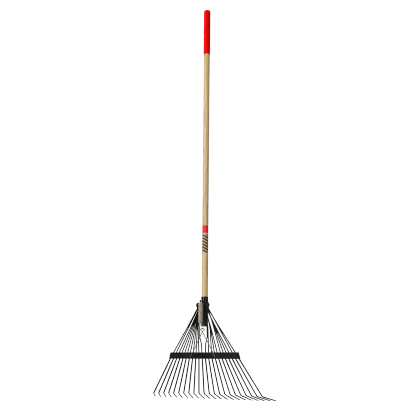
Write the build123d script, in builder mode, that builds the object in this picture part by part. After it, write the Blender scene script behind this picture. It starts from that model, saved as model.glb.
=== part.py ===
from build123d import *
from math import cos, hypot, radians, sin
import os

os.makedirs("parts", exist_ok=True)

# Leaf rake, in millimetres. +Z runs up the handle, X along the spreader bar, +Y the way the tips point.
# The origin is the middle of the grip. Heights named below count up from the middle of the spreader bar.
BAR_Z = -1231.9

# wooden handle and dipped grip
HANDLE_R = 11.11
HANDLE_LOW = 104.7
HANDLE_LENGTH = 1219.2
GRIP_R = 12.5
GRIP_LOW = 1144.5
GRIP_SKIN = 1.5
GRIP_DOME = 7.0
HANDLE_ROUND = 3.0
FIT = 0.04

# ferrule
FERRULE_R = 12.5
FERRULE_LOW = 104.0
FERRULE_TOP = 210.7
BEAD_R = 13.0
BEAD_H = 2.4
COLLAR_R = 12.9
COLLAR_LOW = 193.4
COLLAR_H = 1.4

# clamp that holds the tine ends against the ferrule
CLAMP_LOW = 175.0
CLAMP_H = 10.0
CLAMP_WALL = 1.2
POCKET = ((9.45, -15.9), (25.5, -15.9), (25.5, -9.1), (21.9, -2.9), (12.0, -2.9), (9.45, -8.0))

# pin through ferrule and handle, whose front end carries the spring
PIN_R = 2.2
PIN_HEIGHT = 190.8
PIN_FRONT = -28.0
PIN_BACK = 12.95
PIN_HEAD_R = 4.2
PIN_HEAD_H = 1.8

# brace spring
SPRING_Y = -24.3
SPRING_WIRE_R = 1.1
SPRING_MEAN_R = 8.7
SPRING_LOW = 115.7
SPRING_TOP = 185.1
SPRING_TURNS = 32
EYE_R = 4.3
EYE_HEIGHT = 189.9

# brace wire from the spring down to two holes in the bar
BRACE_R = 1.3
BRACE_Y = -12.6
BRACE_TOP = 97.0
BRACE_CROSS = 83.0
BRACE_LOOP = ((9.4, -0.7, 91.5), (0, 0, 97.0), (-9.4, 0.7, 91.5))
BRACE_END_Y = -4.4
BRACE_LEG_Y = -9.9
BRACE_BEND_R = 1.8
HOLE_X = 54.4
HOLE_HEIGHT = -6.0
HOLE_R = 1.5

# spreader bar, an upturned channel
BAR_HEIGHT = 22.4
BAR_DEPTH = 8.4
BAR_WALL = 1.2
BAR_TOP_HALF = 147.4
BAR_LOW_HALF = 154.3
BAR_Y = -3.62
BAR_LEAN = 3.3
SLOT_SIZE = (7.6, 4.6)

# tines, flat spring steel, rolled wider below the bar
TINES = 22
ROOT_WIDTH = 3.9
TINE_WIDTH = 4.8
TINE_THICK = 2.1
TINE_PITCH = 13.69
TINE_Y = -4.2
PIVOT_DROP = 7.2
SPLIT_GAP = 0.35
ROOT_TOP = 189.0
ROOT_BEND_R = 12.0
COLUMN_X = 11.55
COLUMN_PITCH = 3.95
# height at which the tines of a column turn outwards
KINK_HEIGHTS = {1: 153.0, 2: 163.0, 3: 168.0}
ROW_Y = -13.5
ROW_PITCH = 3.05
# place of each tine in its bundle, from the outermost inwards
COLUMNS = (3, 3, 2, 2, 2, 2, 1, 1, 1, 0, 0)
ROWS = (0, 1, 0, 1, 2, 3, 0, 1, 2, 0, 1)
# where the tines of a column fan out: height, distance of their middle, and the step between them
FANS = {1: (95, 32.0, 3.6), 2: (110, 44.7, 3.2), 3: (110, 62.0, 3.2)}
# the two inner tines of each side pass beside the ferrule: height, then distance from the middle
INNER_PATHS = {
    9: ((145, 11.55), (100, 21.5), (42, 21.5)),
    10: ((135, 11.55), (100, 16.2), (66, 16.8), (42, 9.5)),
}
BEND_X = 237.4
BEND_Y = (16.8, -6.9)
BEND_HEIGHT = (-134.2, -3.85)
BEND_R = 9.0
TIP_LENGTH = 54.1
TIP_ANGLE = 55.5
TIP_SPLAY = 22.7


def at(x, y, height):
    return Vector(x, y, BAR_Z + height)


def level(height):
    return Plane.XY.offset(BAR_Z + height)


def save(part, name):
    part.label = name
    export_step(part, f"parts/{name}.step")


def tine_points(index):
    """Pivot, bend, unit direction and unit tip direction of one tine."""
    offset = index - (TINES - 1) / 2
    share = offset / ((TINES - 1) / 2)
    middle = at(offset * TINE_PITCH, TINE_Y, 0)
    bend_y = BEND_Y[0] + BEND_Y[1] * share**2
    bend = at(BEND_X * share, bend_y, BEND_HEIGHT[0] + BEND_HEIGHT[1] * share**2)
    along = (bend - middle).normalized()
    pivot = middle + along * (PIVOT_DROP / -along.Z)
    splay = radians(TIP_SPLAY * share)
    out = Vector(sin(splay), cos(splay), 0)
    out = (out - along * out.dot(along)).normalized()
    return pivot, bend, along, out


def lower_tine(index):
    pivot, bend, along, out = tine_points(index)
    side = along.cross(out)
    start = pivot + along * SPLIT_GAP
    reach = (bend - start).length
    tip = (reach + TIP_LENGTH * cos(radians(TIP_ANGLE)), TIP_LENGTH * sin(radians(TIP_ANGLE)))
    with BuildPart() as tine:
        with BuildLine(Plane(origin=start, x_dir=along, z_dir=side)):
            FilletPolyline((0, 0), (reach, 0), tip, radius=BEND_R)
        with BuildSketch(Plane(origin=start, x_dir=side, z_dir=along)):
            SlotOverall(TINE_WIDTH, TINE_THICK)
        sweep()
    save(tine.part, f"tine_{index + 1:02d}")


def fan_path(inward):
    """Kink and fan point of one tine, as height and distance from the middle."""
    column = COLUMNS[inward]
    height, middle, step = FANS[column]
    place = (COLUMNS.count(column) - 1) / 2 - ROWS[inward]
    return (KINK_HEIGHTS[column], COLUMN_X + COLUMN_PITCH * column), (height, middle + step * place)


def upper_path(index):
    """Plane of one upper tine, with its origin at the pivot and Y up the tine, and the path in it."""
    pivot = tine_points(index)[0]
    inward = min(index, TINES - 1 - index)
    hand = -1 if index < TINES / 2 else 1
    column_x = COLUMN_X + COLUMN_PITCH * COLUMNS[inward]
    up = (at(pivot.X, ROW_Y + ROW_PITCH * ROWS[inward], CLAMP_LOW) - pivot).normalized()
    points = [(ROOT_TOP, column_x), *(INNER_PATHS.get(inward) or fan_path(inward))]
    flat = [(hand * x - pivot.X, (BAR_Z + height - pivot.Z) / up.Z) for height, x in points]
    gap = SPLIT_GAP / hypot(*flat[-1])
    flat += [(flat[-1][0] * gap, flat[-1][1] * gap)]
    return Plane(origin=pivot, x_dir=(1, 0, 0), z_dir=Vector(1, 0, 0).cross(up)), flat


def upper_tine(index):
    plane, flat = upper_path(index)
    with BuildPart() as root:
        with BuildLine(plane):
            FilletPolyline(*flat, radius=ROOT_BEND_R)
        top = plane.from_local_coords(flat[0])
        with BuildSketch(Plane(origin=top, x_dir=(1, 0, 0), z_dir=-plane.y_dir)):
            SlotOverall(ROOT_WIDTH, TINE_THICK)
        sweep()
    save(root.part, f"tine_root_{index + 1:02d}")


def slot_x(index):
    """Where a tine passes through the top of the bar."""
    plane, flat = upper_path(index)
    low, high = plane.from_local_coords(flat[-1]), plane.from_local_coords(flat[-2])
    share = (BAR_Z + BAR_HEIGHT / 2 - low.Z) / (high.Z - low.Z)
    return low.X + (high.X - low.X) * share


def rod(radius, low, top, rounding):
    with BuildPart() as solid:
        with BuildSketch(level(low)):
            Circle(radius)
        extrude(amount=top - low)
        fillet(solid.faces().sort_by(Axis.Z)[-1].edges(), rounding)
    return solid.part


# handle, round stock with the pin's hole across it
HANDLE_TOP = HANDLE_LOW + HANDLE_LENGTH
with BuildPart() as handle:
    add(rod(HANDLE_R, HANDLE_LOW, HANDLE_TOP, HANDLE_ROUND))
    chamfer(handle.faces().sort_by(Axis.Z)[0].edges(), 1.2)
    with BuildSketch(Plane(origin=at(0, 0, PIN_HEIGHT), z_dir=(0, 1, 0))):
        Circle(PIN_R + FIT)
    extrude(amount=HANDLE_R + 5, both=True, mode=Mode.SUBTRACT)
save(handle.part, "wood_handle")

# grip, a dipped sleeve closed over the handle's end
with BuildPart() as grip:
    add(rod(GRIP_R, GRIP_LOW, HANDLE_TOP + GRIP_SKIN, GRIP_DOME))
    fillet(grip.faces().sort_by(Axis.Z)[0].edges(), 0.9)
    add(rod(HANDLE_R + FIT, GRIP_LOW, HANDLE_TOP + FIT, HANDLE_ROUND + FIT), mode=Mode.SUBTRACT)
save(grip.part, "grip_sleeve")

# ferrule, a steel tube with a rolled top edge and a narrow collar
with BuildPart() as ferrule:
    with BuildSketch(level(FERRULE_LOW)):
        Circle(FERRULE_R)
    extrude(amount=FERRULE_TOP - FERRULE_LOW)
    with BuildSketch(level(FERRULE_TOP - BEAD_H)):
        Circle(BEAD_R)
    extrude(amount=BEAD_H)
    with BuildSketch(level(COLLAR_LOW)):
        Circle(COLLAR_R)
    extrude(amount=COLLAR_H)
    fillet(ferrule.edges().group_by(Axis.Z)[-1], 0.6)
    with BuildSketch(level(FERRULE_LOW)):
        Circle(HANDLE_R + FIT)
    extrude(amount=FERRULE_TOP - FERRULE_LOW, mode=Mode.SUBTRACT)
    with BuildSketch(Plane(origin=at(0, 0, PIN_HEIGHT), z_dir=(0, 1, 0))):
        Circle(PIN_R + FIT)
    extrude(amount=FERRULE_R + 5, both=True, mode=Mode.SUBTRACT)
save(ferrule.part, "ferrule")

# tine clamp, a steel band around the ferrule with a pocket for each bundle of tines
with BuildPart() as clamp:
    with BuildSketch(level(CLAMP_LOW)):
        Circle(FERRULE_R + FIT)
        Polygon(*POCKET, align=None)
        Polygon(*[(-x, y) for x, y in POCKET], align=None)
        offset(amount=CLAMP_WALL, mode=Mode.REPLACE)
        Circle(FERRULE_R + FIT, mode=Mode.SUBTRACT)
        Polygon(*POCKET, align=None, mode=Mode.SUBTRACT)
        Polygon(*[(-x, y) for x, y in POCKET], align=None, mode=Mode.SUBTRACT)
    extrude(amount=CLAMP_H)
save(clamp.part, "tine_clamp")

# anchor pin, headed at the back and turned up at the front
with BuildPart() as pin:
    with BuildLine(Plane.YZ.offset(0)):
        FilletPolyline(
            (PIN_BACK, BAR_Z + PIN_HEIGHT),
            (PIN_FRONT, BAR_Z + PIN_HEIGHT),
            (PIN_FRONT, BAR_Z + PIN_HEIGHT + 6.5),
            radius=3.2,
        )
    with BuildSketch(Plane(origin=at(0, PIN_BACK, PIN_HEIGHT), z_dir=(0, -1, 0))):
        Circle(PIN_R)
    sweep()
    with BuildSketch(Plane(origin=at(0, PIN_BACK, PIN_HEIGHT), z_dir=(0, 1, 0))):
        Circle(PIN_HEAD_R)
    extrude(amount=PIN_HEAD_H)
    fillet(pin.faces().sort_by(Axis.Y)[-1].edges(), 1.2)
save(pin.part, "anchor_pin")

# brace spring: close-wound coil, an eye round the pin and a long hook at the bottom
with BuildPart() as spring:
    pitch = (SPRING_TOP - SPRING_LOW) / (SPRING_TURNS - 1)
    with BuildSketch(Plane(origin=at(0, SPRING_Y, 0), x_dir=(1, 0, 0), z_dir=(0, -1, 0))):
        for turn in range(SPRING_TURNS):
            with Locations((SPRING_MEAN_R, SPRING_LOW + turn * pitch)):
                Circle(SPRING_WIRE_R + 0.04)
    revolve(axis=Axis(at(0, SPRING_Y, 0), (0, 0, 1)))
    with BuildSketch(Plane(origin=at(SPRING_MEAN_R, SPRING_Y, SPRING_TOP + 0.3), z_dir=(-1, 0, 0))):
        Circle(SPRING_WIRE_R)
    extrude(amount=SPRING_MEAN_R)
    with BuildSketch(Plane(origin=at(0, SPRING_Y, EYE_HEIGHT), x_dir=(1, 0, 0), z_dir=(0, 0, 1))):
        with Locations((EYE_R, 0)):
            Circle(SPRING_WIRE_R)
    revolve(axis=Axis(at(0, SPRING_Y, EYE_HEIGHT), (0, 1, 0)))
    hook_y = SPRING_Y + SPRING_MEAN_R
    far_y = 2 * BRACE_Y - hook_y
    hook_z = BAR_Z + BRACE_TOP
    with BuildLine(Plane.YZ):
        Line((hook_y, BAR_Z + SPRING_LOW), (hook_y, hook_z))
        ThreePointArc((hook_y, hook_z), (BRACE_Y, hook_z - BRACE_Y + hook_y), (far_y, hook_z))
        Line((far_y, hook_z), (far_y, hook_z + 2.5))
    with BuildSketch(Plane(origin=at(0, hook_y, SPRING_LOW), z_dir=(0, 0, -1))):
        Circle(SPRING_WIRE_R)
    sweep()
save(spring.part, "brace_spring")

# brace wire: one leg up from each hole, crossing under a loop that the spring's hook holds
with BuildPart() as brace:
    crossings = []
    leg_ways = []
    for hand in (-1, 1):
        inside = at(hand * HOLE_X, BRACE_END_Y, HOLE_HEIGHT)
        corner = at(hand * HOLE_X, BRACE_LEG_Y, HOLE_HEIGHT)
        crossing = at(0, BRACE_Y + hand * (BRACE_R + 0.15), BRACE_CROSS)
        crossings.append(crossing)
        leg_ways.append((crossing - corner).normalized())
        with BuildLine():
            FilletPolyline(inside, corner, crossing, radius=BRACE_BEND_R)
        with BuildSketch(Plane(origin=inside, z_dir=corner - inside)):
            Circle(BRACE_R)
        sweep()
    with BuildLine():
        loop = [at(x, BRACE_Y + lift, height) for x, lift, height in BRACE_LOOP]
        Spline(crossings[0], *loop, crossings[1], tangents=(leg_ways[0], -leg_ways[1]))
    with BuildSketch(Plane(origin=crossings[0], z_dir=leg_ways[0])):
        Circle(BRACE_R)
    sweep()
save(brace.part, "brace_wire")

# tines, each cut in two inside the bar where it flexes
for index in range(TINES):
    upper_tine(index)
    lower_tine(index)

# spreader bar: channel open at the bottom, a slot for each tine in its top and two holes in its front
lean = radians(BAR_LEAN)
half = BAR_HEIGHT / 2
bar_plane = Plane(origin=at(0, BAR_Y, 0), x_dir=(1, 0, 0), z_dir=(0, -cos(lean), -sin(lean)))
top_plane = Plane(origin=at(0, BAR_Y, 0), x_dir=(1, 0, 0), z_dir=(0, -sin(lean), cos(lean)))
outline = ((-BAR_LOW_HALF, -half), (BAR_LOW_HALF, -half), (BAR_TOP_HALF, half), (-BAR_TOP_HALF, half))
with BuildPart() as bar:
    with BuildSketch(bar_plane):
        Polygon(*outline, align=None)
    extrude(amount=BAR_DEPTH / 2, both=True)
    fillet(bar.faces().sort_by(Axis.Z)[-1].edges().sort_by(SortBy.LENGTH)[-2:], 0.9)
    with BuildSketch(bar_plane):
        with Locations((0, -BAR_WALL)):
            Rectangle(2 * BAR_LOW_HALF + 10, BAR_HEIGHT)
    extrude(amount=BAR_DEPTH / 2 - BAR_WALL, both=True, mode=Mode.SUBTRACT)
    with BuildSketch(top_plane):
        for index in range(TINES):
            with Locations((slot_x(index), 0)):
                Rectangle(*SLOT_SIZE)
    extrude(amount=BAR_HEIGHT, mode=Mode.SUBTRACT)
    with BuildSketch(Plane(origin=at(0, 0, HOLE_HEIGHT), x_dir=(1, 0, 0), z_dir=(0, -1, 0))):
        with Locations((HOLE_X, 0), (-HOLE_X, 0)):
            Circle(HOLE_R)
    extrude(amount=BAR_DEPTH * 2, mode=Mode.SUBTRACT)
save(bar.part, "spreader_bar")
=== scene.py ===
from math import cos, hypot, pi, radians, sin

import bmesh
import bpy
from mathutils import Matrix, Vector


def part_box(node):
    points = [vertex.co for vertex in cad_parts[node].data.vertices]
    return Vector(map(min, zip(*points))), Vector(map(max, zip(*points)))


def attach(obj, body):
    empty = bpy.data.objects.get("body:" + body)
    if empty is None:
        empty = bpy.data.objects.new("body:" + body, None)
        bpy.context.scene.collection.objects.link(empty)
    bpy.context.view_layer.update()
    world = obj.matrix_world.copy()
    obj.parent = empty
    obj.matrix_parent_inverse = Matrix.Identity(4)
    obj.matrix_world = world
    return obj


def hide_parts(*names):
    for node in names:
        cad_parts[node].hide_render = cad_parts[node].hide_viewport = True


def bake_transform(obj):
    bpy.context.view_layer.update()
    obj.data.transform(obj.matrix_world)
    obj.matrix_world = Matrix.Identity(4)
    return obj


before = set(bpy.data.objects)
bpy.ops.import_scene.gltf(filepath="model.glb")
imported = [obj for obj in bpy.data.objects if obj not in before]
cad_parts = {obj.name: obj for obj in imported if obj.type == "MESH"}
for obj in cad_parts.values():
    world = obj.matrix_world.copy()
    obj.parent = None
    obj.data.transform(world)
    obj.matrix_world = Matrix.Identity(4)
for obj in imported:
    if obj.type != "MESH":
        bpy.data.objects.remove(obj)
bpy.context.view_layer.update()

# Metres, in the CAD model's frame: +Z up the handle, X along the spreader bar, +Y the way the tips point.
# Heights named below count up from the middle of the spreader bar.
BAR_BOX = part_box("spreader_bar")
BAR_Z = (BAR_BOX[0].z + BAR_BOX[1].z) / 2
FLOOR_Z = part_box("tine_01")[0].z

# camera: spring side, turned so that the right half comes nearer, low and tilted up
CAMERA_TURN = 0.613
CAMERA_PITCH = 0.189
CAMERA_ROLL = 0.008
CAMERA_DISTANCE = 3.0198
CAMERA_AIM_SIDE = 0.00912
CAMERA_AIM_HEIGHT = 0.5408
CAMERA_LENS = 70.17
SENSOR_WIDTH = 36.0
CLIP_START = 0.1
CLIP_END = 60

# tines, one flat strip each from clamp to tip
TINES = 22
ROOT_WIDTH = 0.0039
TINE_WIDTH = 0.0048
TINE_THICK = 0.0021
TINE_PITCH = 0.01369
TINE_Y = -0.0042
PIVOT_DROP = 0.0072
ROOT_TOP = 0.189
CLAMP_LOW = 0.175
ROOT_BEND_R = 0.012
COLUMN_X = 0.01155
COLUMN_PITCH = 0.00395
ROW_Y = -0.0135
ROW_PITCH = 0.00305
# from the outermost tine to the middle one: its column in the clamp, 0 next to the middle,
# and its row, 0 nearest the spring
COLUMNS = (3, 3, 2, 2, 2, 2, 1, 1, 1, 0, 0)
ROWS = (0, 1, 0, 1, 2, 3, 0, 1, 2, 0, 1)
# each column's kink below the clamp, then the height, distance from the middle and step of its fan
KINK_HEIGHTS = {1: 0.153, 2: 0.163, 3: 0.168}
FANS = {1: (0.095, 0.032, 0.0036), 2: (0.11, 0.0447, 0.0032), 3: (0.11, 0.062, 0.0032)}
# the two innermost tines' corners, as height and distance from the middle
INNER_PATHS = {
    9: ((0.145, 0.01155), (0.1, 0.0215), (0.042, 0.0215)),
    10: ((0.135, 0.01155), (0.1, 0.0162), (0.066, 0.0168), (0.042, 0.0095)),
}
BEND_X = 0.2374
BEND_Y = (0.0168, -0.0069)
BEND_HEIGHT = (-0.1342, -0.00385)
BEND_R = 0.009
TIP_LENGTH = 0.0541
TIP_ANGLE = radians(55.5)
TIP_SPLAY = radians(22.7)
TWIST_LENGTH = 0.05
WIDEN_LENGTH = 0.01
STRIP_CORNERS = 16
STRIP_STEP = 0.004
TIP_TAPER = 0.003
TIP_END_SCALE = 0.72

# curves
STRAIGHT = 1e-4
ARC_STEP = radians(9)

# brace spring, one wire from hook to eye
SPRING_Y = -0.0243
SPRING_WIRE_R = 0.00108
SPRING_MEAN_R = 0.0087
SPRING_LOW = 0.1157
SPRING_TOP = 0.1851
SPRING_TURNS = 31.75
SPRING_STEPS = 40
HOOK_HEIGHT = 0.097
HOOK_Y = -0.0126
HOOK_RISE = 0.0025
HOOK_STEPS = 12
HOOK_NECK_R = 0.0016
COIL_TRIM = 4
EYE_R = 0.0043
EYE_HEIGHT = 0.1899
EYE_TURN = radians(330)
EYE_STEPS = 40
EYE_NECK_R = 0.0014
EYE_NECK = (0, 0.0008, 0.0003)
WIRE_CORNERS = 12

# marks painted round the handle
BAND_LOW = 0.446
BAND_HIGH = 0.474
MARK_LOW = 0.373
MARK_HIGH = 0.440
BAND_EDGE = 0.0004
MARK_EDGE = 0.0003
EDGE_RAGGED = 0.0011
STRIPE_PITCH = 0.0112
STRIPE_SLANT = 0.55
STRIPE_START = (0.28, 0.34)
STRIPE_END = (0.9, 0.96)
MARK_SIDE = (0.0038, 0.0042)

# bare metal on the tines, from this far below the bend to this far above it
RUB_BELOW = 0.034
RUB_ABOVE = 0.012

# colours as seen on screen, 0 to 255
WOOD_PALE = (224, 196, 148)
WOOD_WARM = (213, 184, 130)
WOOD_LINE = (184, 145, 97)
WOOD_FIBRE = (190, 156, 112)
WOOD_PORE = (122, 88, 56)
BAND_RED = (238, 2, 34)
MARK_DARK = (38, 33, 28)
VINYL_RED = (246, 0, 0)
VINYL_DEEP = (234, 0, 0)
VINYL_HANDLED = (200, 2, 2)
ENAMEL_BLACK = (4, 4, 4)
ENAMEL_DUSTY = (16, 15, 14)
ENAMEL_WORN = (126, 121, 113)
STRIP_BLACK = (9, 9, 9)
STRIP_DUSTY = (25, 24, 22)
STRIP_BARE = (150, 147, 141)
COIL_CLEAN = (208, 198, 174)
COIL_DULL = (160, 149, 125)
# brace wire zinc: a darker copy of the coil's zinc colours, painted shade on the wire
BRACE_SHADED_CLEAN = (142, 131, 112)
BRACE_SHADED_DULL = (104, 95, 80)

# linear colours
WHITE = (1.0, 1.0, 1.0, 1.0)
PAPER_DARK = (0.35, 0.35, 0.35, 1.0)
PAPER_LIGHT = (0.4, 0.4, 0.4, 1.0)

# studio
PIXEL_SPREAD = 1.0
SHEET_R = 9.0
SHEET_CURVE = 3.0
SHEET_HEIGHT = 9.0
SHEET_SIDES = 96
SHEET_STEPS = 24
PAPER_GLOW = 0.88
WORLD_STRENGTH = 0.3
LAMP_AIM = 0.55
# name, then to the camera's right, away from the camera and up, width, height, watts
LAMPS = (
    ("key", -2.1, -2.1, 0.5, 0.6, 2.8, 74.0),
    ("fill", 1.0, -2.8, 0.1, 1.6, 1.6, 12.0),
    ("back_edge", 1.6, 2.4, 0.8, 1.2, 2.4, 14.0),
)


def place_camera():
    right = Vector((cos(CAMERA_TURN), sin(CAMERA_TURN), 0))
    level = Vector((-sin(CAMERA_TURN), cos(CAMERA_TURN), 0))
    away = level * cos(CAMERA_PITCH) + Vector((0, 0, sin(CAMERA_PITCH)))
    up = right.cross(away)
    aim = right * CAMERA_AIM_SIDE + Vector((0, 0, BAR_Z + CAMERA_AIM_HEIGHT))
    turned = right * cos(CAMERA_ROLL) + up * sin(CAMERA_ROLL)
    data = bpy.data.cameras.new("camera")
    data.lens = CAMERA_LENS
    data.sensor_width = SENSOR_WIDTH
    data.clip_start = CLIP_START
    data.clip_end = CLIP_END
    camera = bpy.data.objects.new("camera", data)
    basis = Matrix((turned, turned.cross(away), -away)).transposed()
    camera.matrix_world = Matrix.Translation(aim - away * CAMERA_DISTANCE) @ basis.to_4x4()
    bpy.context.scene.collection.objects.link(camera)
    bpy.context.scene.camera = camera
    return right, level


# ---------------------------------------------------------------- swept pieces


def rounded(points, radius, step):
    """The polyline with its corners rounded and its straight runs cut into steps."""
    path = [points[0]]
    for before, corner, after in zip(points, points[1:], points[2:]):
        back, ahead = (before - corner).normalized(), (after - corner).normalized()
        turn = pi - back.angle(ahead)
        if turn < STRAIGHT:
            path.append(corner)
            continue
        reach = radius * (1 - cos(turn)) / sin(turn)
        centre = corner + (back + ahead).normalized() * hypot(radius, reach)
        first, last = corner + back * reach, corner + ahead * reach
        arm, axis = first - centre, (first - centre).cross(last - centre).normalized()
        pieces = max(3, round(turn / ARC_STEP))
        path += [centre + Matrix.Rotation(turn * i / pieces, 3, axis) @ arm for i in range(pieces + 1)]
    path.append(points[-1])
    return subdivided(path, step)


def subdivided(path, step):
    fine = [path[0]]
    for low, high in zip(path, path[1:]):
        pieces = max(1, round((high - low).length / step))
        fine += [low.lerp(high, i / pieces) for i in range(1, pieces + 1)]
    return fine


def tangents(path):
    ends = [path[0] * 2 - path[1], *path, path[-1] * 2 - path[-2]]
    return [(after - before).normalized() for before, after in zip(ends, ends[2:])]


def swept(name, path, sides, sections):
    """A closed mesh of sections set along a path, with UVs in metres: round it, then along it."""
    bm = bmesh.new()
    uv = bm.loops.layers.uv.new("UVMap")
    rings, lengths, length = [], [], 0.0
    for i, (point, tangent, side, section) in enumerate(zip(path, tangents(path), sides, sections)):
        across = (side - tangent * side.dot(tangent)).normalized()
        thick = tangent.cross(across)
        rings.append([bm.verts.new(point + across * a + thick * b) for a, b in section])
        length += (point - path[i - 1]).length if i else 0.0
        lengths.append(length)
    count = len(sections[0])
    girth = sum((a.co - b.co).length for a, b in zip(rings[0], rings[0][1:] + rings[0][:1]))
    for i, (low, high) in enumerate(zip(rings, rings[1:])):
        for k in range(count):
            face = bm.faces.new((low[k], low[(k + 1) % count], high[(k + 1) % count], high[k]))
            face.smooth = True
            corners = ((k, i), (k + 1, i), (k + 1, i + 1), (k, i + 1))
            for loop, (around, along) in zip(face.loops, corners):
                loop[uv].uv = (around / count * girth, lengths[along])
    for ring in (rings[0][::-1], rings[-1]):
        bm.faces.new(ring).smooth = True
    bmesh.ops.recalc_face_normals(bm, faces=bm.faces)
    mesh = bpy.data.meshes.new(name)
    bm.to_mesh(mesh)
    bm.free()
    piece = bpy.data.objects.new(name, mesh)
    bpy.context.scene.collection.objects.link(piece)
    return piece


def circle_section(radius):
    angles = [2 * pi * i / WIRE_CORNERS for i in range(WIRE_CORNERS)]
    return [(radius * cos(a), radius * sin(a)) for a in angles]


def strip_section(width):
    """A flat strip with rounded edges."""
    half, radius = (width - TINE_THICK) / 2, TINE_THICK / 2
    section = []
    for i in range(STRIP_CORNERS):
        angle = 2 * pi * (i + 0.5) / STRIP_CORNERS
        section.append((half * (1 if cos(angle) > 0 else -1) + radius * cos(angle), radius * sin(angle)))
    return section


def at(x, y, height):
    return Vector((x, y, BAR_Z + height))


def tine_points(index):
    """Pivot, bend, unit direction and unit tip direction of one tine, as in the CAD model."""
    offset = index - (TINES - 1) / 2
    share = offset / ((TINES - 1) / 2)
    middle = at(offset * TINE_PITCH, TINE_Y, 0)
    bend = at(BEND_X * share, BEND_Y[0] + BEND_Y[1] * share**2, BEND_HEIGHT[0] + BEND_HEIGHT[1] * share**2)
    along = (bend - middle).normalized()
    pivot = middle + along * (PIVOT_DROP / -along.z)
    out = Vector((sin(TIP_SPLAY * share), cos(TIP_SPLAY * share), 0))
    out = (out - along * out.dot(along)).normalized()
    return pivot, bend, along, out


def eased(share):
    share = min(1.0, max(0.0, share))
    return share * share * (3 - 2 * share)


def fan_path(inward):
    """Kink and fan point of one tine, as height and distance from the middle."""
    column = COLUMNS[inward]
    height, middle, step = FANS[column]
    place = (COLUMNS.count(column) - 1) / 2 - ROWS[inward]
    return (KINK_HEIGHTS[column], COLUMN_X + COLUMN_PITCH * column), (height, middle + step * place)


def root_points(index, pivot):
    """The upper half's corners, from the clamp down to the pivot, and the normal of their plane."""
    inward = min(index, TINES - 1 - index)
    hand = -1 if index < TINES / 2 else 1
    column_x = COLUMN_X + COLUMN_PITCH * COLUMNS[inward]
    up = (at(pivot.x, ROW_Y + ROW_PITCH * ROWS[inward], CLAMP_LOW) - pivot).normalized()
    heights = [(ROOT_TOP, column_x), *(INNER_PATHS.get(inward) or fan_path(inward))]
    rise = Vector((0, up.y / up.z, 1))
    points = []
    for height, x in heights:
        point = pivot + rise * (BAR_Z + height - pivot.z)
        points.append(Vector((hand * x, point.y, point.z)))
    return points, Vector((1, 0, 0)).cross(up)


def make_tine(index):
    pivot, bend, along, out = tine_points(index)
    upper, normal = root_points(index, pivot)
    tip = bend + (along * cos(TIP_ANGLE) + out * sin(TIP_ANGLE)) * TIP_LENGTH
    top_path = rounded([*upper, pivot], ROOT_BEND_R, STRIP_STEP)
    low_path = rounded([pivot, bend, tip], BEND_R, STRIP_STEP)
    path = top_path + low_path[1:]
    flat_side = along.cross(out)
    sides, sections = [], []
    for point, tangent in zip(path, tangents(path)):
        turned = eased((pivot.z - point.z) / TWIST_LENGTH)
        sides.append(normal.cross(tangent).lerp(flat_side, turned))
        wide = eased((pivot.z + WIDEN_LENGTH - point.z) / WIDEN_LENGTH)
        width = ROOT_WIDTH + (TINE_WIDTH - ROOT_WIDTH) * wide
        left = min(1.0, (tip - point).length / TIP_TAPER)
        scale = TIP_END_SCALE + (1 - TIP_END_SCALE) * left**0.5
        sections.append([(a * scale, b * scale) for a, b in strip_section(width)])
    name = f"{index + 1:02d}"
    piece = swept(f"spring_tine_{name}", path, sides, sections)
    piece.data.materials.append(tine_enamel)
    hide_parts(f"tine_root_{name}", f"tine_{name}")
    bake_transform(piece)


def spring_path():
    """Hook, coil, cross wire and eye, from the hook's end to the eye's."""
    hook_y = SPRING_Y + SPRING_MEAN_R
    far_y = 2 * HOOK_Y - hook_y
    reach = HOOK_Y - hook_y
    path = [at(0, far_y, HOOK_HEIGHT + HOOK_RISE)]
    for i in range(HOOK_STEPS + 1):
        angle = pi * i / HOOK_STEPS
        path.append(at(0, HOOK_Y + reach * cos(angle), HOOK_HEIGHT - reach * sin(angle)))
    steps = round(SPRING_TURNS * SPRING_STEPS)
    coil = []
    for i in range(steps + 1):
        angle = pi / 2 + 2 * pi * SPRING_TURNS * i / steps
        height = SPRING_LOW + (SPRING_TOP - SPRING_LOW) * i / steps
        coil.append(at(SPRING_MEAN_R * cos(angle), SPRING_Y + SPRING_MEAN_R * sin(angle), height))
    low_corner = at(0, hook_y, SPRING_LOW)
    low_end = rounded([path[-1], low_corner, coil[COIL_TRIM - 1]], HOOK_NECK_R, STRIP_STEP)
    eye = []
    for i in range(EYE_STEPS + 1):
        angle = EYE_TURN * i / EYE_STEPS
        eye.append(at(-EYE_R * sin(angle), SPRING_Y, EYE_HEIGHT - EYE_R * cos(angle)))
    high_corner = coil[-1] + Vector(EYE_NECK)
    high_end = rounded([coil[-COIL_TRIM], high_corner, eye[0]], EYE_NECK_R, STRIP_STEP)
    return path[:-1] + low_end + coil[COIL_TRIM:-COIL_TRIM] + high_end + eye[1:]


def carried_sides(path):
    """Sides that turn with the path and don't twist about it."""
    ways = tangents(path)
    side = ways[0].orthogonal()
    sides = []
    for way in ways:
        side = (side - way * side.dot(way)).normalized()
        sides.append(side)
    return sides


def make_spring():
    path = spring_path()
    piece = swept("coil_spring", path, carried_sides(path), [circle_section(SPRING_WIRE_R)] * len(path))
    piece.data.materials.append(galvanised)
    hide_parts("brace_spring")
    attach(piece, "rake")


# ---------------------------------------------------------------- materials


def add_node(tree, kind, inputs=None, **settings):
    node = tree.nodes.new("ShaderNode" + kind)
    for key, value in settings.items():
        setattr(node, key, value)
    for key, value in (inputs or {}).items():
        if isinstance(value, bpy.types.NodeSocket):
            tree.links.new(value, node.inputs[key])
        else:
            node.inputs[key].default_value = value
    return node


def new_material(name, **uniform):
    """A Principled material, its uniform values set on the shader's own sockets."""
    material = bpy.data.materials.new(name)
    material.use_nodes = True
    tree = material.node_tree
    shader = tree.nodes["Principled BSDF"]
    for key, value in uniform.items():
        shader.inputs[key.replace("_", " ")].default_value = value
    return material, tree, shader


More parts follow.
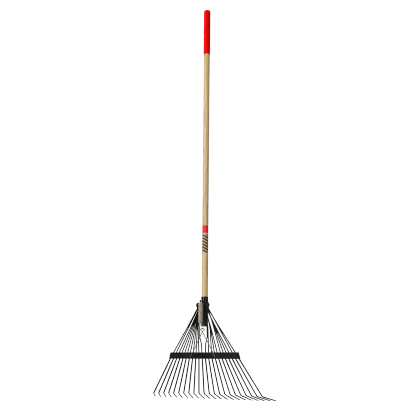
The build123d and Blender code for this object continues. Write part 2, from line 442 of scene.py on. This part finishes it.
def linear(colour):
    """A colour as seen on screen, 0 to 255, as the shader's linear values."""
    values = [c / 255 / 12.92 if c <= 10 else ((c / 255 + 0.055) / 1.055) ** 2.4 for c in colour]
    return (*values, 1.0)


def place(tree, kind="Object"):
    return add_node(tree, "TexCoord").outputs[kind]


def stretched(tree, vector, scale):
    return add_node(tree, "Mapping", {"Vector": vector, "Scale": scale}).outputs["Vector"]


def noise(tree, vector, scale, detail=4.0, roughness=0.55):
    inputs = {"Vector": vector, "Scale": scale, "Detail": detail, "Roughness": roughness}
    return add_node(tree, "TexNoise", inputs).outputs["Fac"]


def span(tree, value, low, high, to_low=0.0, to_high=1.0):
    """value from low..high, carried to to_low..to_high and kept inside."""
    inputs = {"Value": value, "From Min": low, "From Max": high, "To Min": to_low, "To Max": to_high}
    return add_node(tree, "MapRange", inputs, interpolation_type="SMOOTHSTEP").outputs["Result"]


def maths(tree, operation, first, second=0.0):
    node = add_node(tree, "Math", operation=operation)
    for socket, value in zip(node.inputs, (first, second)):
        if isinstance(value, bpy.types.NodeSocket):
            tree.links.new(value, socket)
        else:
            socket.default_value = value
    return node.outputs[0]


def blend_colour(tree, share, first, second):
    node = add_node(tree, "Mix", data_type="RGBA")
    for name, value in (("Factor", share), ("A", first), ("B", second)):
        kind = "VALUE" if name == "Factor" else "RGBA"
        sockets = [s for s in node.inputs if s.name == name and s.type == kind]
        if isinstance(value, bpy.types.NodeSocket):
            tree.links.new(value, sockets[0])
        else:
            sockets[0].default_value = value
    return [s for s in node.outputs if s.type == "RGBA"][0]


def bump(tree, shader, height, distance, strength=1.0):
    node = add_node(tree, "Bump", {"Height": height, "Distance": distance, "Strength": strength})
    tree.links.new(node.outputs["Normal"], shader.inputs["Normal"])


def make_wood(near):
    """Pale turned wood under lacquer, with a painted red band and a plain row of dark bars on one side."""
    material, tree, shader = new_material("lacquered_wood", Specular_IOR_Level=0.3,
                                          Coat_Weight=0.12, Coat_Roughness=0.15)
    spot = place(tree)
    # growth rings, seen as long lines that close into slow arches
    bent = noise(tree, stretched(tree, spot, (6, 6, 1.6)), 3.0, 2.0)
    x, y, z = add_node(tree, "SeparateXYZ", {"Vector": spot}).outputs
    ring = maths(tree, "ADD", maths(tree, "MULTIPLY", x, 420.0), maths(tree, "MULTIPLY", bent, 30.0))
    ring = maths(tree, "ADD", ring, maths(tree, "MULTIPLY", y, 170.0))
    lines = span(tree, maths(tree, "SINE", ring), -0.7, 1.0)
    fibre = noise(tree, stretched(tree, spot, (900, 900, 14)), 1.0, 5.0, 0.65)
    pores = span(tree, noise(tree, stretched(tree, spot, (1500, 1500, 22)), 1.0, 2.0), 0.6, 0.72)
    tone = noise(tree, stretched(tree, spot, (14, 14, 2.4)), 1.0, 3.0)
    colour = blend_colour(tree, span(tree, tone, 0.3, 0.7), linear(WOOD_PALE), linear(WOOD_WARM))
    colour = blend_colour(tree, maths(tree, "MULTIPLY", lines, 0.42), colour, linear(WOOD_LINE))
    colour = blend_colour(tree, maths(tree, "MULTIPLY", fibre, 0.3), colour, linear(WOOD_FIBRE))
    colour = blend_colour(tree, maths(tree, "MULTIPLY", pores, 0.35), colour, linear(WOOD_PORE))
    # painted marks
    height = maths(tree, "SUBTRACT", z, BAR_Z)
    ragged = maths(tree, "MULTIPLY", noise(tree, spot, 260.0, 3.0), EDGE_RAGGED)
    edge = maths(tree, "ADD", height, ragged)
    above = span(tree, edge, BAND_LOW, BAND_LOW + BAND_EDGE)
    below = span(tree, edge, BAND_HIGH, BAND_HIGH + BAND_EDGE, 1.0, 0.0)
    band = maths(tree, "MULTIPLY", above, below)
    thin = span(tree, noise(tree, stretched(tree, spot, (500, 500, 30)), 1.0, 4.0), 0.34, 0.42, 0.82, 1.0)
    band = maths(tree, "MULTIPLY", band, thin)
    facing = maths(tree, "ADD", maths(tree, "MULTIPLY", x, near.x), maths(tree, "MULTIPLY", y, near.y))
    across = maths(tree, "SUBTRACT", maths(tree, "MULTIPLY", y, near.x), maths(tree, "MULTIPLY", x, near.y))
    slant = maths(tree, "ADD", height, maths(tree, "MULTIPLY", across, STRIPE_SLANT))
    stripe = maths(tree, "FRACT", maths(tree, "DIVIDE", slant, STRIPE_PITCH))
    after = span(tree, stripe, *STRIPE_START)
    before = span(tree, stripe, *STRIPE_END, 1.0, 0.0)
    stripe = maths(tree, "MULTIPLY", after, before)
    above = span(tree, edge, MARK_LOW, MARK_LOW + MARK_EDGE)
    below = span(tree, edge, MARK_HIGH, MARK_HIGH + MARK_EDGE, 1.0, 0.0)
    inside = maths(tree, "MULTIPLY", above, below)
    inside = maths(tree, "MULTIPLY", inside, span(tree, facing, *MARK_SIDE))
    mark = maths(tree, "MULTIPLY", maths(tree, "MULTIPLY", stripe, inside), thin)
    colour = blend_colour(tree, band, colour, linear(BAND_RED))
    colour = blend_colour(tree, mark, colour, linear(MARK_DARK))
    tree.links.new(colour, shader.inputs["Base Color"])
    painted = maths(tree, "MAXIMUM", band, mark)
    rough = span(tree, fibre, 0.3, 0.75, 0.38, 0.54)
    rough = maths(tree, "SUBTRACT", rough, maths(tree, "MULTIPLY", painted, 0.1))
    tree.links.new(rough, shader.inputs["Roughness"])
    relief = maths(tree, "ADD", maths(tree, "MULTIPLY", fibre, 0.5), maths(tree, "MULTIPLY", painted, 0.6))
    bump(tree, shader, maths(tree, "SUBTRACT", relief, maths(tree, "MULTIPLY", pores, 0.6)), 0.00006, 0.8)
    return material


def make_vinyl():
    """Red dipped grip: glossy, slightly uneven, dirtier where the hand holds it."""
    material, tree, shader = new_material("dipped_vinyl", Specular_IOR_Level=0.05,
                                          Subsurface_Weight=0.3, Subsurface_Scale=0.006)
    shader.inputs["Subsurface Radius"].default_value = (1.0, 0.25, 0.15)
    spot = place(tree)
    sag = noise(tree, stretched(tree, spot, (60, 60, 18)), 1.0, 2.0)
    peel = noise(tree, spot, 520.0, 3.0)
    hand = noise(tree, stretched(tree, spot, (45, 45, 30)), 1.0, 5.0, 0.7)
    colour = blend_colour(tree, span(tree, sag, 0.35, 0.68), linear(VINYL_RED), linear(VINYL_DEEP))
    colour = blend_colour(tree, span(tree, hand, 0.6, 0.78, 0.0, 0.3), colour, linear(VINYL_HANDLED))
    tree.links.new(colour, shader.inputs["Base Color"])
    tree.links.new(span(tree, hand, 0.35, 0.75, 0.42, 0.56), shader.inputs["Roughness"])
    relief = maths(tree, "ADD", maths(tree, "MULTIPLY", peel, 0.25), sag)
    bump(tree, shader, relief, 0.00012, 0.5)
    return material


def make_black_enamel():
    """Black enamel on steel: fine orange peel, dust and a few worn specks that show the metal."""
    material, tree, shader = new_material("black_enamel", Specular_IOR_Level=0.15,
                                          Coat_Weight=0.22, Coat_Roughness=0.1)
    spot = place(tree)
    peel = noise(tree, spot, 700.0, 3.0)
    dust = noise(tree, spot, 55.0, 5.0, 0.65)
    speck = span(tree, noise(tree, spot, 240.0, 5.0, 0.7), 0.69, 0.73)
    colour = blend_colour(tree, span(tree, dust, 0.4, 0.75), linear(ENAMEL_BLACK), linear(ENAMEL_DUSTY))
    colour = blend_colour(tree, speck, colour, linear(ENAMEL_WORN))
    tree.links.new(colour, shader.inputs["Base Color"])
    tree.links.new(span(tree, dust, 0.3, 0.75, 0.3, 0.52), shader.inputs["Roughness"])
    tree.links.new(maths(tree, "MULTIPLY", speck, 0.8), shader.inputs["Metallic"])
    relief = maths(tree, "SUBTRACT", maths(tree, "MULTIPLY", peel, 0.4), speck)
    bump(tree, shader, relief, 0.00005, 0.7)
    return material


def make_tine_enamel():
    """Thin black enamel on spring steel, rubbed to grey metal towards the tip."""
    material, tree, shader = new_material("tine_enamel", Specular_IOR_Level=0.12)
    spot = place(tree)
    z = add_node(tree, "SeparateXYZ", {"Vector": spot}).outputs["Z"]
    drawn = noise(tree, stretched(tree, place(tree, "UV"), (1400, 22, 1)), 1.0, 4.0, 0.6)
    patch = noise(tree, spot, 95.0, 5.0, 0.65)
    height = maths(tree, "SUBTRACT", z, BAR_Z)
    low = span(tree, height, BEND_HEIGHT[0] - RUB_BELOW, BEND_HEIGHT[0] + RUB_ABOVE, 1.0, 0.0)
    rubbed = maths(tree, "ADD", maths(tree, "MULTIPLY", low, 0.62), maths(tree, "MULTIPLY", patch, 0.8))
    rubbed = span(tree, maths(tree, "ADD", rubbed, maths(tree, "MULTIPLY", drawn, 0.2)), 0.78, 0.98)
    colour = blend_colour(tree, span(tree, patch, 0.35, 0.7), linear(STRIP_BLACK), linear(STRIP_DUSTY))
    colour = blend_colour(tree, rubbed, colour, linear(STRIP_BARE))
    tree.links.new(colour, shader.inputs["Base Color"])
    tree.links.new(maths(tree, "MULTIPLY", rubbed, 0.85), shader.inputs["Metallic"])
    tree.links.new(span(tree, drawn, 0.3, 0.7, 0.42, 0.6), shader.inputs["Roughness"])
    worn = maths(tree, "MULTIPLY", rubbed, 0.6)
    relief = maths(tree, "SUBTRACT", maths(tree, "MULTIPLY", drawn, 0.5), worn)
    bump(tree, shader, relief, 0.00004, 0.7)
    return material


def make_galvanised(name, clean, dull):
    """Zinc-plated wire, slightly yellowed, with dull blotches."""
    material, tree, shader = new_material(name)
    spot = place(tree)
    blotch = noise(tree, spot, 210.0, 5.0, 0.6)
    fine = noise(tree, spot, 1300.0, 3.0)
    colour = blend_colour(tree, span(tree, blotch, 0.3, 0.7), clean, dull)
    tree.links.new(colour, shader.inputs["Base Color"])
    tree.links.new(span(tree, blotch, 0.3, 0.7, 0.35, 0.6), shader.inputs["Metallic"])
    tree.links.new(span(tree, fine, 0.3, 0.7, 0.3, 0.46), shader.inputs["Roughness"])
    bump(tree, shader, fine, 0.00003, 0.6)
    return material


def make_paper():
    """Plain pale floor and backdrop, lit a little from within so that it reads as white paper."""
    material, tree, shader = new_material("pale_paper", Roughness=0.85, Emission_Strength=PAPER_GLOW)
    shader.inputs["Emission Color"].default_value = WHITE
    tooth = noise(tree, place(tree), 90.0, 4.0)
    colour = blend_colour(tree, tooth, PAPER_DARK, PAPER_LIGHT)
    tree.links.new(colour, shader.inputs["Base Color"])
    bump(tree, shader, tooth, 0.0002, 0.3)
    return material


# ---------------------------------------------------------------- studio


def make_studio(right, level):
    """A round seamless sheet that only the camera sees, a soft world and three soft lamps."""
    profile = [(SHEET_R - SHEET_CURVE, 0.0)]
    for i in range(1, SHEET_STEPS + 1):
        angle = pi / 2 * i / SHEET_STEPS
        profile.append((SHEET_R - SHEET_CURVE * (1 - sin(angle)), SHEET_CURVE * (1 - cos(angle))))
    profile.append((SHEET_R, SHEET_HEIGHT))
    bm = bmesh.new()
    angles = [2 * pi * i / SHEET_SIDES for i in range(SHEET_SIDES)]
    rows = []
    for r, rise in profile:
        rows.append([bm.verts.new((r * cos(a), r * sin(a), FLOOR_Z + rise)) for a in angles])
    bm.faces.new(rows[0]).smooth = True
    for low, high in zip(rows, rows[1:]):
        for k in range(SHEET_SIDES):
            bm.faces.new((low[k], low[k - 1], high[k - 1], high[k])).smooth = True
    mesh = bpy.data.meshes.new("backdrop")
    bm.to_mesh(mesh)
    bm.free()
    sheet = bpy.data.objects.new("backdrop", mesh)
    mesh.materials.append(make_paper())
    sheet.visible_diffuse = False
    sheet.visible_glossy = False
    sheet.visible_shadow = False
    bpy.context.scene.collection.objects.link(sheet)

    world = bpy.data.worlds.new("studio")
    world.use_nodes = True
    background = world.node_tree.nodes["Background"]
    background.inputs["Color"].default_value = WHITE
    background.inputs["Strength"].default_value = WORLD_STRENGTH
    bpy.context.scene.world = world

    middle = Vector((0, 0, BAR_Z + LAMP_AIM))
    for name, side, depth, rise, width, tall, watts in LAMPS:
        data = bpy.data.lights.new(name, "AREA")
        data.shape = "RECTANGLE"
        data.size = width
        data.size_y = tall
        data.energy = watts
        lamp = bpy.data.objects.new(name, data)
        lamp.location = middle + right * side + level * depth + Vector((0, 0, rise))
        lamp.rotation_euler = (middle - lamp.location).to_track_quat("-Z", "Y").to_euler()
        bpy.context.scene.collection.objects.link(lamp)


right, level = place_camera()
near = Vector((sin(CAMERA_TURN), -cos(CAMERA_TURN), 0))
wood = make_wood(near)
vinyl = make_vinyl()
black_enamel = make_black_enamel()
tine_enamel = make_tine_enamel()
galvanised = make_galvanised("galvanised_coil", linear(COIL_CLEAN), linear(COIL_DULL))
# the brace wire's zinc is a darker, shaded copy of the coil's finish: painted shade
brace_painted_shade = make_galvanised("galvanised_brace_painted_shade", linear(BRACE_SHADED_CLEAN), linear(BRACE_SHADED_DULL))

finishes = {
    "wood_handle": wood,
    "grip_sleeve": vinyl,
    "ferrule": black_enamel,
    "tine_clamp": black_enamel,
    "anchor_pin": black_enamel,
    "brace_wire": brace_painted_shade,
    "spreader_bar": black_enamel,
}
for node, material in finishes.items():
    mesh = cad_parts[node].data
    mesh.materials.clear()
    mesh.materials.append(material)

make_spring()
for index in range(TINES):
    make_tine(index)

make_studio(right, level)
bpy.context.scene.view_settings.view_transform = "Standard"
bpy.context.scene.cycles.filter_width = PIXEL_SPREAD
bpy.context.view_layer.update()
